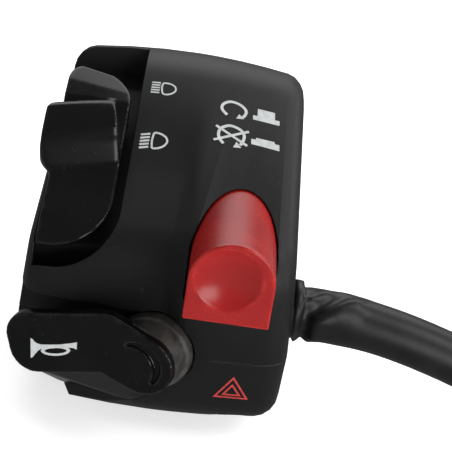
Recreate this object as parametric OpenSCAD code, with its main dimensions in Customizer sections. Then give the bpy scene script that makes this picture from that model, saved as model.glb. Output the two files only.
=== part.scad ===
// Handlebar switch cluster: two moulded halves that clamp on the bar, a beam lever,
// a push-in stop button, a horn lever, a hazard slider and a sleeved cable.
// X runs along the bar towards the cable, Y towards the front of the machine, Z up.
// The origin lies on the bar's axis, in the plane where the two halves meet.

/* [Housing] */
// Width along the bar
body_w = 51; // [49:0.5:56]
// Bar axis to the front wall
front_reach = 30; // [29.5:0.5:33]
// Bar axis to the back wall
back_reach = 26; // [25.5:0.5:30]
// Height of the top above the bar axis
top_height = 41.5; // [40:0.5:44]
// Depth of the underside below the bar axis
bottom_depth = 18; // [17.5:0.5:21]
// Height where the front wall turns into the sloping deck
brow_height = 21; // [20:0.5:22]
// Wall thickness
wall = 2.2; // [1.8:0.1:2.6]
// Radius of the rounded end edges
end_round = 4; // [3:0.25:5]
// Draw-in of the section at both ends
crown = 2; // [1:0.25:2.5]
// How far each end leans in towards the top
taper = 2.8; // [1:0.2:3]
// How far the button side stands proud of the lever side
step_proud = 2.4; // [1:0.2:3]

/* [Handlebar] */
// Diameter of the bar
bar_d = 22; // [21:0.2:22.4]
// Wall of the tube round the bar
bar_wall = 1.8; // [1.4:0.1:2]

/* [Beam lever] */
// Width of the rocker plate
lever_w = 12.6; // [11:0.2:13.4]
// Thickness of the rocker plate
plate_t = 2.2; // [1.8:0.1:2.4]
// How far the plate lies under the panel round it
plate_sunk = 0.4; // [0:0.1:0.8]
// Height of the thumb rib over the plate
rib_h = 6.5; // [4:0.25:7.5]
// Swing from low beam to high beam, in degrees
beam_swing = 12; // [8:1:12]
// Depth of the pocket under the panel round it
pocket_depth = 6.8; // [6.6:0.1:7.2]
// Diameter of the pivot pin
pin_d = 3; // [2.4:0.1:3.2]

/* [Stop button] */
// Width of the button
stop_w = 15.2; // [14:0.2:16]
// Height of the button
stop_h = 15.6; // [15:0.2:16]
// How far the face stands in front of the housing
stop_proud = 6.5; // [5.5:0.25:8]
// Travel from run to stop
stop_travel = 4.5; // [3:0.25:4.5]
// Diameter of the thumb dish
dish_d = 12; // [10:0.25:13]
// Depth of the thumb dish
dish_depth = 1.6; // [1:0.1:2]

/* [Horn lever] */
// Radius of the round hub
hub_r = 7.3; // [6.8:0.1:7.6]
// Radius of the journal in the housing
journal_r = 5; // [4.6:0.1:5.2]
// Lean of the hub axis towards the outer end, in degrees
hub_lean = 16; // [14:1:18]
// Hub axis to the paddle's tip
paddle_reach = 26.5; // [23:0.5:27]
// Height of the paddle
paddle_h = 12.2; // [11:0.2:12.6]
// Hub seat to the paddle's face
paddle_face = 8; // [7:0.25:9]
// Swing of the paddle, in degrees
horn_swing = 7; // [5:1:7]

/* [Hazard slider] */
// Travel from off to on
hazard_travel = 5; // [3:0.5:5]
// Length of the knob along the bar
knob_w = 6; // [5:0.5:7]
// How far the knob stands out of the underside
knob_proud = 2.5; // [1.5:0.25:4]

/* [Cable] */
// Outer diameter of the sleeve
sleeve_d = 9.5; // [9:0.1:9.6]
// Wall of the grommet round the sleeve
grommet_wall = 0.7; // [0.5:0.1:0.9]
// Gap between the coil's turns
coil_gap = 2.5; // [2.2:0.1:3]

/* [Clearances] */
// Radial play of a pin or journal
running = 0.05; // [0.02:0.01:0.09]
// Gap round a sliding or swinging piece
slide_gap = 0.3; // [0.25:0.05:0.4]

/* [Hidden] */
$fn = 48;

half_w = body_w / 2;
bar_r = bar_d / 2;
tube_r = bar_r + bar_wall;

// The ridge where the deck levels out, and the back corners of the section
ridge_y = 10;
top_back_y = back_reach - 3.5;
brow_r = 12;
ridge_r = 16;
back_r = 8;
belly_r = 9;
belly_in = 4;
facet_len = 5;

// The deck's slope between brow and ridge
deck_run = ridge_y + front_reach;
deck_rise = top_height - brow_height;
deck_angle = atan2(deck_rise, deck_run);

// The soft step between the lever side and the button side
step_x = 3.5;
step_run = 5;
step_top_y = 2;
step_fade = 16;
step_low_z = 12;

function unit(v) = v / norm(v);
function smooth(t) = let (c = min(1, max(0, t))) c * c * (3 - 2 * c);
function flat(lists) = [for (l = lists) for (p = l) p];

// A corner of a path replaced by an arc of radius r in n steps
function corner(a, p, b, r, n) =
    let (u = unit(a - p), w = unit(b - p), half = acos(u * w) / 2)
    let (c = p + unit(u + w) * r / sin(half), s = p + u * r / tan(half) - c)
    let (turn = (180 - 2 * half) * sign(u[1] * w[0] - u[0] * w[1]))
    [for (i = [0 : n])
        let (t = turn * i / n)
        c + [s[0] * cos(t) - s[1] * sin(t), s[0] * sin(t) + s[1] * cos(t)]];

// Straight stretches longer than facet_len get points of their own
function fine(path) = concat(flat([for (i = [0 : len(path) - 2])
    let (a = path[i], b = path[i + 1], n = max(1, round(norm(b - a) / facet_len)))
    [for (k = [0 : n - 1]) a + (b - a) * k / n]]), [path[len(path) - 1]]);

// Outline of the upper half, front to back, and of the lower half, back to front
upper_corners = [
    [-front_reach, 0], [-front_reach, brow_height], [ridge_y, top_height],
    [top_back_y, top_height], [back_reach, 0]
];
upper_radii = [0, brow_r, ridge_r, back_r];
lower_corners = [
    [back_reach, 0], [back_reach - belly_in, -bottom_depth],
    [belly_in - front_reach, -bottom_depth], [-front_reach, 0]
];
lower_radii = [0, belly_r, belly_r];
function rounded(v, r, n) = fine(concat([v[0]], flat([for (i = [1 : len(v) - 2])
    corner(v[i - 1], v[i], v[i + 1], r[i], n)]), [v[len(v) - 1]]));
upper_path = rounded(upper_corners, upper_radii, 5);
lower_path = rounded(lower_corners, lower_radii, 5);

// How far the skin lies inside the full section at a place along the bar
function end_inset(x) = let (e = half_w - abs(x))
    e < end_round ? end_round - sqrt(max(0, end_round ^ 2 - (end_round - e) ^ 2)) : 0;
function step_inset(x, p) = step_proud * (1 - smooth((x - step_x) / step_run + 0.5))
    * smooth((step_top_y - p[0]) / step_fade) * smooth((p[1] + step_low_z) / step_low_z);
function inset(x, p) = crown * (x / half_w) ^ 2 + end_inset(x) + step_inset(x, p);

function outward(path, i) = let (n = len(path) - 1)
    i == 0 || i == n ? [sign(path[i][0]), 0]
    : let (t = unit(path[i + 1] - path[i - 1])) [-t[1], t[0]];

// The ends lean in above the parting plane
function lean(z) = 1 - taper / half_w * max(0, z) / top_height;

// Points of a path set in by an amount, at one place along the bar
function skin(path, x, depth) = [for (i = [0 : len(path) - 1])
    path[i] - outward(path, i) * (inset(x, path[i]) + depth)];

// Places along the bar where the skin is drawn
round_steps = 4;
function stations(trim) = concat(
    trim > 0 ? [trim - half_w] : [],
    [for (i = [0 : round_steps]) let (x = end_round * (1 - cos(90 * i / round_steps)) - half_w)
        if (x > trim - half_w + 0.2 || trim == 0) x],
    [for (i = [1 : 3]) end_round - half_w + (step_x - step_run / 2 + half_w - end_round) * i / 3],
    [for (i = [1 : 4]) step_x - step_run / 2 + step_run * i / 4],
    [for (i = [1 : 2]) step_x + step_run / 2 + (half_w - end_round - step_x - step_run / 2) * i / 3],
    [for (i = [round_steps : -1 : 0]) let (x = half_w - end_round * (1 - cos(90 * i / round_steps)))
        if (x < half_w - trim - 0.2 || trim == 0) x],
    trim > 0 ? [half_w - trim] : []);

// A body through the sections along the bar, closed by the parting plane
module loft(path, trim, depth) {
    xs = stations(trim);
    n = len(path);
    m = len(xs);
    points = [for (x = xs) let (s = skin(path, x, depth))
        for (i = [0 : n - 1]) [x * lean(s[i][1]), s[i][0], i == 0 || i == n - 1 ? 0 : s[i][1]]];
    sides = flat([for (k = [0 : m - 2]) for (i = [0 : n - 1])
        let (a = k * n + i, b = k * n + (i + 1) % n, c = b + n, d = a + n)
        [[a, b, c], [a, c, d]]]);
    left = [[for (i = [n - 1 : -1 : 0]) i]];
    right = [[for (i = [0 : n - 1]) (m - 1) * n + i]];
    polyhedron(points = points, faces = concat(left, sides, right), convexity = 8);
}

module along_x(x0, x1, r) {
    translate([x0, 0, 0]) rotate([0, 90, 0]) cylinder(r = r, h = x1 - x0);
}

module span(x0, x1, y0, y1, z0, z1) {
    translate([x0, y0, z0]) cube([x1 - x0, y1 - y0, z1 - z0]);
}

// Frame of the deck: Y runs up the slope from the brow, Z stands off it
module on_deck() {
    translate([0, -front_reach, brow_height]) rotate([deck_angle, 0, 0]) children();
}

// A section drawn in Y and Z, drawn out along the bar
module section_x(x0, x1, points) {
    translate([x0, 0, 0]) rotate([90, 0, 90]) linear_extrude(x1 - x0) polygon(points);
}

// A spring or a cord as one tube of n sides round a list of points that runs about level
module tube(points, r, n) {
    m = len(points);
    along = [for (i = [0 : m - 1]) unit(points[min(m - 1, i + 1)] - points[max(0, i - 1)])];
    rings = [for (i = [0 : m - 1]) let (u = unit(cross(along[i], [0, 0, 1])), v = cross(along[i], u))
        for (k = [0 : n - 1]) points[i] + r * (u * cos(360 * k / n) + v * sin(360 * k / n))];
    sides = flat([for (i = [0 : m - 2]) for (k = [0 : n - 1])
        let (a = i * n + k, b = i * n + (k + 1) % n, c = b + n, d = a + n)
        [[a, c, b], [a, d, c]]]);
    first = [for (k = [1 : n - 2]) [0, k, k + 1]];
    last = [for (k = [1 : n - 2]) let (o = (m - 1) * n) [o, o + k + 1, o + k]];
    polyhedron(points = rings, faces = concat(first, sides, last), convexity = 10);
}

module spring(r, wire_r, length, turns) {
    steps = 12 * turns;
    rise = length - 2 * wire_r;
    tube([for (i = [0 : steps])
        [r * cos(360 * turns * i / steps), r * sin(360 * turns * i / steps), wire_r + rise * i / steps]],
        wire_r, 6);
}

// The beam lever's place in the housing
lever_rim = 2.6;
pocket_side = 1.6;
lever_left = lever_rim - half_w;
lever_right = lever_left + lever_w;
lever_x = (lever_left + lever_right) / 2;
pocket_left = lever_left - slide_gap;
pocket_right = lever_right + pocket_side;
pocket_back = 15.5;
pocket_low = 15.5;
pocket_corner = 11.5;
pocket_lean = 55;
floor_t = 1.5;
lever_low = 3.6;
lever_back = 6.5;
lever_end = 41;
lever_corner = 10.5;
lever_top_corner = 7;
lever_left_corner = 4.5;
pivot_t = 25;
pivot_deep = 17.5;
lever_hub_r = 3;
stem_t = 4.4;
arm_reach = 9.5;
arm_t = 1.8;
arm_h = 4;
partition_t = 1.6;
partition_x = pocket_right + 0.4;
deck_drop = inset(lever_x, upper_corners[1]);

function deck_point(t, n) = [
    t * cos(deck_angle) - n * sin(deck_angle) - front_reach,
    t * sin(deck_angle) + n * cos(deck_angle) + brow_height
];
pivot = deck_point(pivot_t, -pivot_deep);

// The stop button's place
stop_x = 12.5;
stop_top = brow_height + 6.8;
stop_face = -front_reach - stop_proud;
stop_rear = -6;
stop_mid = stop_top - stop_w / 2;
guide_t = 1.8;
tail_y = -15;
tail_low = 15.5;
spring_r = 2.5;
spring_wire = 0.45;
spring_seat = -22;
bridge_t = 0.4;
pad_t = 0.5;
stop_base_y = stop_rear + stop_travel + bridge_t + pad_t + slide_gap;
stop_base_t = 6;
stop_base_low = 15;
stop_base_w = 13;

// The horn lever's place
hub_x = 1.2;
hub_seat = 3;
web_t = 3;
boss_r = 9.6;
recess_top = 6.9;
grip_r = 4.5;
grip_depth = 0.8;
recess_floor = 0.6;
paddle_back = 1;
stub = 7;
groove_r = 3.8;
clip_t = 0.55;
clip_r = 6.4;

// The hazard slider's place
hazard_x = 8.5;
hazard_y = -13;
knob_d = 3.4;
plate_w = 9.2;
plate_d = 6;
slide_z = -14.5;
slide_t = 1.4;
strip_t = 0.3;
hazard_base_z = slide_z + slide_gap + slide_t + strip_t + slide_gap;
hazard_base_t = 2.6;
post_w = 2.2;
post_left = hazard_x - plate_w / 2 - slide_gap - post_w;
post_right = hazard_x + hazard_travel + plate_w / 2 + slide_gap;

// The cable's exit and its hand-laid route to the coil
cable_y = -17;
cable_z = 6;
sleeve_r = sleeve_d / 2;
grommet_r = sleeve_r + running + grommet_wall;
cable_in = half_w - 3;
floor_z = -bottom_depth - knob_proud;
tie_t = 0.8;
tie_w = 4;
tie_gap = 2 * slide_gap;
coil_z = floor_z + tie_t + tie_gap + sleeve_r;
route = [
    [32, cable_y, 5.5], [44, cable_y, 3.8], [56, cable_y, 0.5], [68, cable_y, -4], [80, cable_y, -9],
    [90, cable_y, -12.7], [99, cable_y, coil_z]
];
coil_x = 117;
coil_r = 50;
coil_turns = 1.5;
coil_pitch = sleeve_d + coil_gap;

// The cut-away under the horn lever
heel_x = -15.3;
heel_z = -6;

// The screws that draw the halves together
screw_r = 2;
screw_boss_r = 3.6;
screw_head_r = 3.4;
screw_head_t = 2.4;
screw_tip = 9;
screw_seat = -bottom_depth + 7;
screw_places = [[16.5, -21], [-15, 18.3], [15, 18.3]];

// Places shared by the two halves
module bar_space(r) { along_x(-half_w - 1, half_w + 1, r); }
module on_hub() {
    translate([hub_x, hub_seat - front_reach, 0]) rotate([90, 0, -hub_lean]) children();
}
module on_pocket_edge() {
    translate([0, -front_reach, pocket_low]) rotate([pocket_lean, 0, 0]) children();
}

// The band between two depths under the panel where the lever sits, level behind the ridge
lever_span = [for (i = [0 : len(upper_path) - 1])
    if (upper_path[i][1] > 2 && upper_path[i][0] < ridge_y + 1) i];
module panel_band(x0, x1, top, deep, back) {
    a = skin(upper_path, lever_x, top);
    b = skin(upper_path, lever_x, deep);
    n = len(lever_span) - 1;
    section_x(x0, x1, concat([for (i = lever_span) a[i]],
        [[back, top_height - top], [back, top_height - deep]],
        [for (k = [n : -1 : 0]) b[lever_span[k]]]));
}

// A scoop in the band: open above, square to the skin below, with a round lower corner
module lever_scoop(x0, x1, top, deep, low, back, corner_r) {
    far = 90;
    difference() {
        intersection() {
            panel_band(x0, x1, top, deep, pocket_back);
            on_pocket_edge() span(x0 - 1, x1 + 1, low, far, -far, far);
            span(x0 - 1, x1 + 1, -far, back, 0, far);
        }
        on_pocket_edge() difference() {
            span(x1 - corner_r, x1 + 1, low - 1, low + corner_r, -far, far);
            translate([x1 - corner_r, low + corner_r, -far]) cylinder(r = corner_r, h = 2 * far);
        }
    }
}

module horn_recess() {
    on_hub() {
        cylinder(r = hub_r + slide_gap, h = 20);
        translate([0, 0, -web_t - 1]) cylinder(r = journal_r + running, h = web_t + 2);
        span(-60, -hub_r / 2, -40, recess_top, recess_floor, 40);
        span(-60, -0.5, -40, -1, recess_floor, 40);
    }
}

// The thick wall behind the horn lever's recess
module horn_backing() {
    on_hub() {
        translate([0, 0, -web_t]) cylinder(r = boss_r, h = 12);
        span(-60, 0, -20, recess_top + wall, recess_floor - wall, 40);
    }
}

module screw_bosses(r, z0, z1) {
    for (p = screw_places) translate([p[0], p[1], z0]) cylinder(r = r, h = z1 - z0);
}

module stop_arch(grow, y0, y1) {
    w = stop_w + 2 * grow;
    translate([stop_x, y1, 0]) rotate([90, 0, 0]) linear_extrude(y1 - y0) {
        translate([0, stop_mid]) circle(w / 2);
        translate([-w / 2, stop_top - stop_h - grow]) square([w, stop_h - stop_w / 2 + grow]);
    }
}

module upper_chamber() {
    difference() {
        loft(upper_path, wall, wall);
        bar_space(tube_r);
        difference() {
            panel_band(-half_w - 1, partition_x + partition_t / 2, -wall, pocket_depth + floor_t,
                pocket_back + wall);
            on_deck() span(lever_left + 3, lever_right - 0.5, pivot_t - stem_t / 2 - 0.6,
                pivot_t + stem_t / 2 + 0.2 * beam_swing, -pivot_deep, 0);
        }
        span(partition_x, partition_x + partition_t, -60, 60, bar_r, 60);
        screw_bosses(screw_boss_r, -1, screw_tip + 1.5);
        for (p = screw_places)
            span(p[0] - 1, p[0] + 1, min(0, sign(p[1]) * 60), max(0, sign(p[1]) * 60), -1, screw_tip);
        horn_backing();
        stop_arch(slide_gap + guide_t, -60, tail_y + 6);
        span(stop_x - stop_base_w / 2, stop_x + stop_base_w / 2,
            stop_base_y, stop_base_y + stop_base_t, -1, stop_base_low);
    }
}

module upper_housing() {
    color("#2b2c2d") difference() {
        loft(upper_path, 0, 0);
        upper_chamber();
        bar_space(bar_r);
        lever_scoop(pocket_left, pocket_right, -6, pocket_depth, 0, pocket_back, pocket_corner);
        span(-half_w - 5, pocket_left + 0.1, -60, pocket_back - 1, 24, 60);
        translate([0, pivot[0], pivot[1]]) along_x(pocket_left - 0.8, 0, pin_d / 2 + running);
        stop_arch(slide_gap, -60, tail_y + 7);
        horn_recess();
        translate([0, cable_y, cable_z]) along_x(cable_in, 60, grommet_r + running);
        screw_bosses(screw_r + running, -1, screw_tip + 0.5);
    }
}

module lower_chamber() {
    difference() {
        loft(lower_path, wall, wall);
        bar_space(tube_r);
        span(-60, -12, -60, 60, -60, 1);
        screw_bosses(screw_head_r + slide_gap + 1.2, -60, 1);
        horn_backing();
        span(post_left, post_right + post_w, hazard_y - plate_d / 2, hazard_y + plate_d / 2, -60, slide_z);
        for (x = [post_left, post_right])
            span(x, x + post_w, hazard_y - plate_d / 2, hazard_y + plate_d / 2, -60, hazard_base_z);
    }
}

module lower_housing() {
    color("#29292a") difference() {
        loft(lower_path, 0, 0);
        lower_chamber();
        bar_space(bar_r);
        horn_recess();
        translate([0, -tube_r - 0.4, 0]) rotate([90, 0, 0]) linear_extrude(60)
            polygon([[-half_w - 2, heel_z], [heel_x - 2, heel_z], [heel_x, heel_z - 2],
                [heel_x, 4 - bottom_depth], [heel_x + 1.2, 1.6 - bottom_depth],
                [heel_x + 3.6, 0.2 - bottom_depth],
                [heel_x + 6, -60], [-half_w - 2, -60]]);
        screw_bosses(screw_r + running, -60, 1);
        screw_bosses(screw_head_r + slide_gap, -60, screw_seat);
        span(hazard_x - knob_w / 2 - slide_gap, hazard_x + hazard_travel + knob_w / 2 + slide_gap,
            hazard_y - knob_d / 2 - slide_gap, hazard_y + knob_d / 2 + slide_gap, -60, slide_z + 1);
    }
}

module housing_screws() {
    color("silver") for (p = screw_places) translate([p[0], p[1], screw_seat]) {
        cylinder(r = screw_r, h = screw_tip - screw_seat);
        difference() {
            translate([0, 0, -screw_head_t]) cylinder(r = screw_head_r, h = screw_head_t);
            for (a = [0, 90]) rotate(a) translate([-2, -0.4, -screw_head_t - 1]) cube([4, 0.8, 2.2]);
        }
    }
}

// Rocker plate with a slanted thumb rib, a stem to its hub and an arm for the wiper
module beam_lever() {
    rib_low = 16.5;
    rib_brow = 25;
    rib_crest = 29.5;
    rib_end = 32.5;
    rib_over = 2.4;
    rib_skew = 14;
    rib_round = 3.2;
    rib_left = lever_left - rib_over + rib_round;
    base_n = -deck_drop - plate_sunk - plate_t / 2;
    color("#101112") difference() {
        union() {
            lever_scoop(lever_left, lever_right, plate_sunk, plate_sunk + plate_t, lever_low,
                lever_back, lever_corner);
            on_deck() intersection() {
                translate([lever_x, pivot_t, 0]) rotate([0, 0, rib_skew]) translate([0, -pivot_t, 0])
                    section_x(-lever_w, lever_w / 2 - 1.4, concat(
                        [for (i = [0 : 8])
                            [rib_low + (rib_brow - rib_low) * i / 8, base_n + 0.9 * rib_h * smooth(i / 8)]],
                        [for (a = [0 : 18 : 90])
                            [rib_crest + (rib_end - rib_crest) * sin(a), base_n + rib_h * cos(a)]]));
                translate([0, 0, base_n - 1]) linear_extrude(rib_h + 2) hull() {
                    for (t = [20.5, 26.8]) translate([rib_left, t]) circle(rib_round);
                    translate([lever_right - 1, pivot_t - 20]) square([1, 40]);
                }
            }
            on_deck() {
                span(lever_left + 3.6, lever_right - arm_t - 1.2, pivot_t - stem_t / 2,
                    pivot_t + stem_t / 2, -pivot_deep, base_n);
                span(lever_right - arm_t - 1.4, lever_right - 1.2, pivot_t - arm_h / 2, pivot_t + arm_reach,
                    -pivot_deep - arm_h / 2, -pivot_deep + arm_h / 2);
            }
            translate([0, pivot[0], pivot[1]]) along_x(lever_left + 1.2, lever_right - 1.2, lever_hub_r);
        }
        translate([0, pivot[0], pivot[1]]) along_x(lever_left - 1, lever_right + 1, pin_d / 2 + running);
        on_deck() translate([lever_right, lever_end, -12] - lever_top_corner * [1, 1, 0]) difference() {
            cube([lever_top_corner + 1, lever_top_corner + 5, 20]);
            translate([0, 0, -1]) cylinder(r = lever_top_corner, h = 22);
        }
        on_deck() translate([lever_left, lever_end, -12] + lever_left_corner * [1, -1, 0]) difference() {
            translate([-lever_left_corner - 1, 0, 0])
                cube([lever_left_corner + 1, lever_left_corner + 5, 20]);
            translate([0, 0, -1]) cylinder(r = lever_left_corner, h = 22);
        }
    }
}

module beam_pivot_pin() {
    color("silver") translate([0, pivot[0], pivot[1]])
        along_x(pocket_left - 0.6, partition_x + partition_t - 0.2, pin_d / 2);
}

wiper_t = 0.5;
wiper_x = lever_right - 1.2;
beam_pad_x = wiper_x + wiper_t + slide_gap;
beam_pad_t = 0.4;
module beam_wiper() {
    color("goldenrod") on_deck() span(wiper_x, wiper_x + wiper_t, pivot_t + lever_hub_r + 0.4,
        pivot_t + arm_reach - 0.4, -pivot_deep - 1.2, -pivot_deep + 1.2);
}

module beam_contact_base() {
    color("saddlebrown") on_deck() span(beam_pad_x + beam_pad_t, partition_x, pivot_t + 3,
        pivot_t + 12, -pivot_deep - 5, -pivot_deep + 4);
}

module beam_terminals() {
    color("goldenrod") on_deck() for (n = [-3.6, -1.6, 0.4])
        span(beam_pad_x, beam_pad_x + beam_pad_t, pivot_t + 4.5, pivot_t + 9.5,
            n - pivot_deep, n - pivot_deep + 1.2);
}

// Round-topped push button with a thumb dish, guided by its own outline
module stop_button() {
    dish_r = (dish_d ^ 2 / 4 + dish_depth ^ 2) / (2 * dish_depth);
    color("#b3211f") difference() {
        stop_arch(0, stop_face, stop_rear);
        translate([stop_x, stop_face + dish_depth - dish_r, stop_top - stop_h / 2])
            sphere(r = dish_r, $fn = 96);
        span(stop_x - stop_w, stop_x + stop_w, tail_y, 0, 0, tail_low);
        translate([stop_x, 0, stop_mid]) rotate([90, 0, 0])
            translate([0, 0, -1]) cylinder(r = spring_r + spring_wire + slide_gap, h = 1 - spring_seat);
    }
}

module stop_contact_bridge() {
    color("goldenrod") span(stop_x - 4.2, stop_x + 4.2, stop_rear, stop_rear + bridge_t,
        stop_mid + 4, stop_mid + 5.4);
}

module stop_spring() {
    color("silver") translate([stop_x, stop_base_y, stop_mid]) rotate([90, 0, 0])
        spring(spring_r, spring_wire, stop_base_y - spring_seat, 8);
}

module stop_contact_base() {
    color("saddlebrown") span(stop_x - stop_base_w / 2, stop_x + stop_base_w / 2,
        stop_base_y, stop_base_y + stop_base_t, stop_base_low, stop_top);
}

module stop_terminals() {
    color("goldenrod") for (x = [-4.2, 1.8])
        span(stop_x + x, stop_x + x + 2.4, stop_base_y - pad_t, stop_base_y, stop_mid + 4, stop_mid + 5.4);
}

// Paddle drawn in from its foot to its face, on a round hub with a grooved journal
module horn_lever() {
    tip_r = 4.8;
    face_t = 2.4;
    foot_drop = 6.4;
    foot_in = 3.8;
    elbow = [-7.1, 3.1];
    elbow_turn = 10.6;
    module layer(z, h) { translate([0, 0, z]) linear_extrude(h) children(); }
    module blade(grow) {
        translate(elbow) rotate(elbow_turn) hull() {
            for (y = [-1, 1])
                translate([tip_r - elbow[0] - paddle_reach, y * (paddle_h / 2 - tip_r)])
                    circle(tip_r + grow);
            circle(paddle_h / 2 + grow);
        }
    }
    module foot() {
        hull() {
            translate([tip_r - paddle_reach + foot_in, -foot_drop]) circle(tip_r);
            translate([elbow[0] + 0.9, -foot_drop]) circle(paddle_h / 2 - 0.3);
        }
    }
    module neck() {
        hull() {
            translate(elbow) circle(paddle_h / 2);
            circle(hub_r - 1.4);
        }
    }
    color("#101112") difference() {
        on_hub() {
            translate([0, 0, slide_gap]) cylinder(r = hub_r, h = paddle_back + 1.5);
            rotate(horn_swing) {
                layer(paddle_face - face_t, face_t) {
                    blade(0);
                    neck();
                }
                layer(paddle_back, paddle_face - paddle_back - 0.5) circle(hub_r - 1.6);
                hull() {
                    layer(paddle_back, 0.1) foot();
                    layer(paddle_face - 1.2, 0.1) blade(-0.2);
                }
            }
            translate([0, 0, -stub]) cylinder(r = journal_r, h = stub + 1);
        }
        on_hub() translate([0, 0, -web_t - slide_gap - clip_t - 0.1]) difference() {
            cylinder(r = journal_r + 1, h = clip_t + 0.2);
            translate([0, 0, -1]) cylinder(r = groove_r, h = 4);
        }
        on_hub() translate([-0.9, -0.2, paddle_face - grip_depth]) difference() {
            cylinder(r = grip_r, h = 2);
            translate([-1.2, -1, -1]) cylinder(r = grip_r, h = 4);
        }
    }
}

module horn_clip() {
    color("silver") on_hub() translate([0, 0, -web_t - slide_gap - clip_t]) difference() {
        cylinder(r = clip_r, h = clip_t);
        translate([0, 0, -1]) cylinder(r = groove_r + running, h = 3);
        span(-1.5, 1.5, -clip_r - 1, 0, -1, 2);
    }
}

module horn_return_spring() {
    wire = 0.3;
    color("silver") on_hub() translate([0, 0, -stub]) spring(journal_r + wire + slide_gap, wire, 2.6, 2);
}

module horn_moving_contact() {
    color("goldenrod") on_hub() span(-1.6, 1.6, -3, 8.5, -stub - 0.4, -stub);
}

module horn_contact_bracket() {
    color("goldenrod") on_hub() span(3.3, 4.5, 6.8, 8.4, -stub - 0.4, -web_t);
}

module hazard_slider() {
    plate_z = slide_z + slide_gap;
    color("#1c1c1d") {
        span(hazard_x - plate_w / 2, hazard_x + plate_w / 2, hazard_y - plate_d / 2 + 0.2,
            hazard_y + plate_d / 2 - 0.2, plate_z, plate_z + slide_t);
        difference() {
            span(hazard_x - knob_w / 2, hazard_x + knob_w / 2, hazard_y - knob_d / 2,
                hazard_y + knob_d / 2, -bottom_depth - knob_proud, plate_z + 0.1);
            for (x = [-2 : 2]) translate([hazard_x + x * 1.1, hazard_y - 5, -bottom_depth - knob_proud])
                rotate([-90, 0, 0]) cylinder(r = 0.35, h = 10);
        }
    }
}

module hazard_moving_contact() {
    top = slide_z + slide_gap + slide_t;
    color("goldenrod") span(hazard_x - 3, hazard_x + 3, hazard_y - 1.2, hazard_y + 1.2, top, top + strip_t);
}

module hazard_contact_base() {
    color("saddlebrown") span(post_left, post_right + post_w, hazard_y - plate_d / 2,
        hazard_y + plate_d / 2 - 0.6, hazard_base_z, hazard_base_z + hazard_base_t);
}

module cable_grommet() {
    color("#1a1a1a") translate([0, cable_y, cable_z]) difference() {
        along_x(cable_in, half_w + 0.6, grommet_r);
        along_x(cable_in - 1, half_w + 2, sleeve_r + running);
    }
}

// The free stretch of the sleeve, from the grommet down to the floor and along it
coil_start = [coil_x, cable_y, coil_z];
sleeve_points = concat([for (x = [0, 2, 4]) [cable_in + x, cable_y, cable_z]], route,
    [coil_start - [sleeve_d, 0, 0]]);
module cable_sleeve() { color("#1d1d1c") tube(sleeve_points, sleeve_r, 10); }

// The put-away length: a flat spiral whose ends run straight for one diameter
coil_rings = 24;
coil_centre = coil_start + [0, coil_r, 0];
function coil_ring(a) = coil_r - coil_pitch * a / 360;
function coil_point(a) = coil_centre + coil_ring(a) * [sin(a), -cos(a), 0];
coil_last = 360 * coil_turns;
coil_end = coil_point(coil_last) + sleeve_d * [cos(coil_last), sin(coil_last), 0];
coil_points = concat([coil_start - [sleeve_d, 0, 0]],
    [for (i = [0 : coil_rings * coil_turns]) coil_point(360 * i / coil_rings)], [coil_end]);
module cable_coil() { color("#1d1d1c") tube(coil_points, sleeve_r, 6); }

// Least gap between stretches of the spiral that lie a quarter turn or more apart
coil_least = min([for (i = [0 : len(coil_points) - 1]) for (k = [i + coil_rings / 4 : len(coil_points) - 1])
    norm(coil_points[i] - coil_points[k])]) - sleeve_d;
echo(coil_least_gap_mm = coil_least);

// A strap round the two turns at the quarter turn
module cable_tie() {
    inner = sleeve_r + tie_gap;
    near = coil_ring(90);
    far = coil_ring(450);
    module wrap(r) {
        for (x = [near, far]) translate([x, 0]) circle(r);
        translate([far, -r]) square([near - far, 2 * r]);
    }
    color("#202020") translate(coil_centre + [0, tie_w / 2, 0]) rotate([90, 0, 0]) difference() {
        union() {
            linear_extrude(tie_w) wrap(inner + tie_t);
            translate([far - 3, inner, -0.5]) cube([6, 4, tie_w + 1]);
        }
        translate([0, 0, -1]) linear_extrude(tie_w + 2) wrap(inner);
    }
}

lead_count = 6;
lead_r = 0.9;
lead_bend = 100;
lead_bend_r = 12;
lead_ring = 2;
plug_size = [24, 18, 13];
cell = [12, 3, 2.2];
cells = [for (i = [-1 : 1]) for (k = [-1, 1]) [5 * i, 2.6 * k]];
pin = [10, 1.6, 0.6];
latch = [12, 6, 2];

// Frame of the cord's end, and of the connector after the leads' bend: X runs on, Z stays up
module on_bend() { translate(coil_end) rotate(coil_last) translate([0, lead_bend_r, 0]) children(); }
module on_plug() { on_bend() rotate(lead_bend) translate([0, -lead_bend_r, 0]) children(); }

module connector_leads() {
    color("#7a5a2a") on_bend() rotate(-90) for (i = [0 : lead_count - 1])
        rotate_extrude(angle = lead_bend)
            translate([lead_bend_r + lead_ring * cos(60 * i), lead_ring * sin(60 * i)])
                circle(lead_r, $fn = 24);
}

module connector_housing() {
    color("whitesmoke") on_plug() translate([0, -plug_size[1] / 2, floor_z - coil_z]) difference() {
        union() {
            cube(plug_size);
            translate([plug_size[0] * 0.2, plug_size[1] / 2 - latch[1] / 2, plug_size[2]]) cube(latch);
        }
        for (c = cells) translate([plug_size[0] - cell[0], plug_size[1] / 2 + c[0] - cell[1] / 2,
            plug_size[2] / 2 + c[1] - cell[2] / 2]) cube(cell + [1, 0, 0]);
    }
}

module connector_terminals() {
    mid = floor_z - coil_z + plug_size[2] / 2;
    color("goldenrod") on_plug() for (c = cells)
        translate([plug_size[0] - cell[0], c[0] - pin[1] / 2, mid + c[1] - pin[2] / 2]) cube(pin);
}

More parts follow.
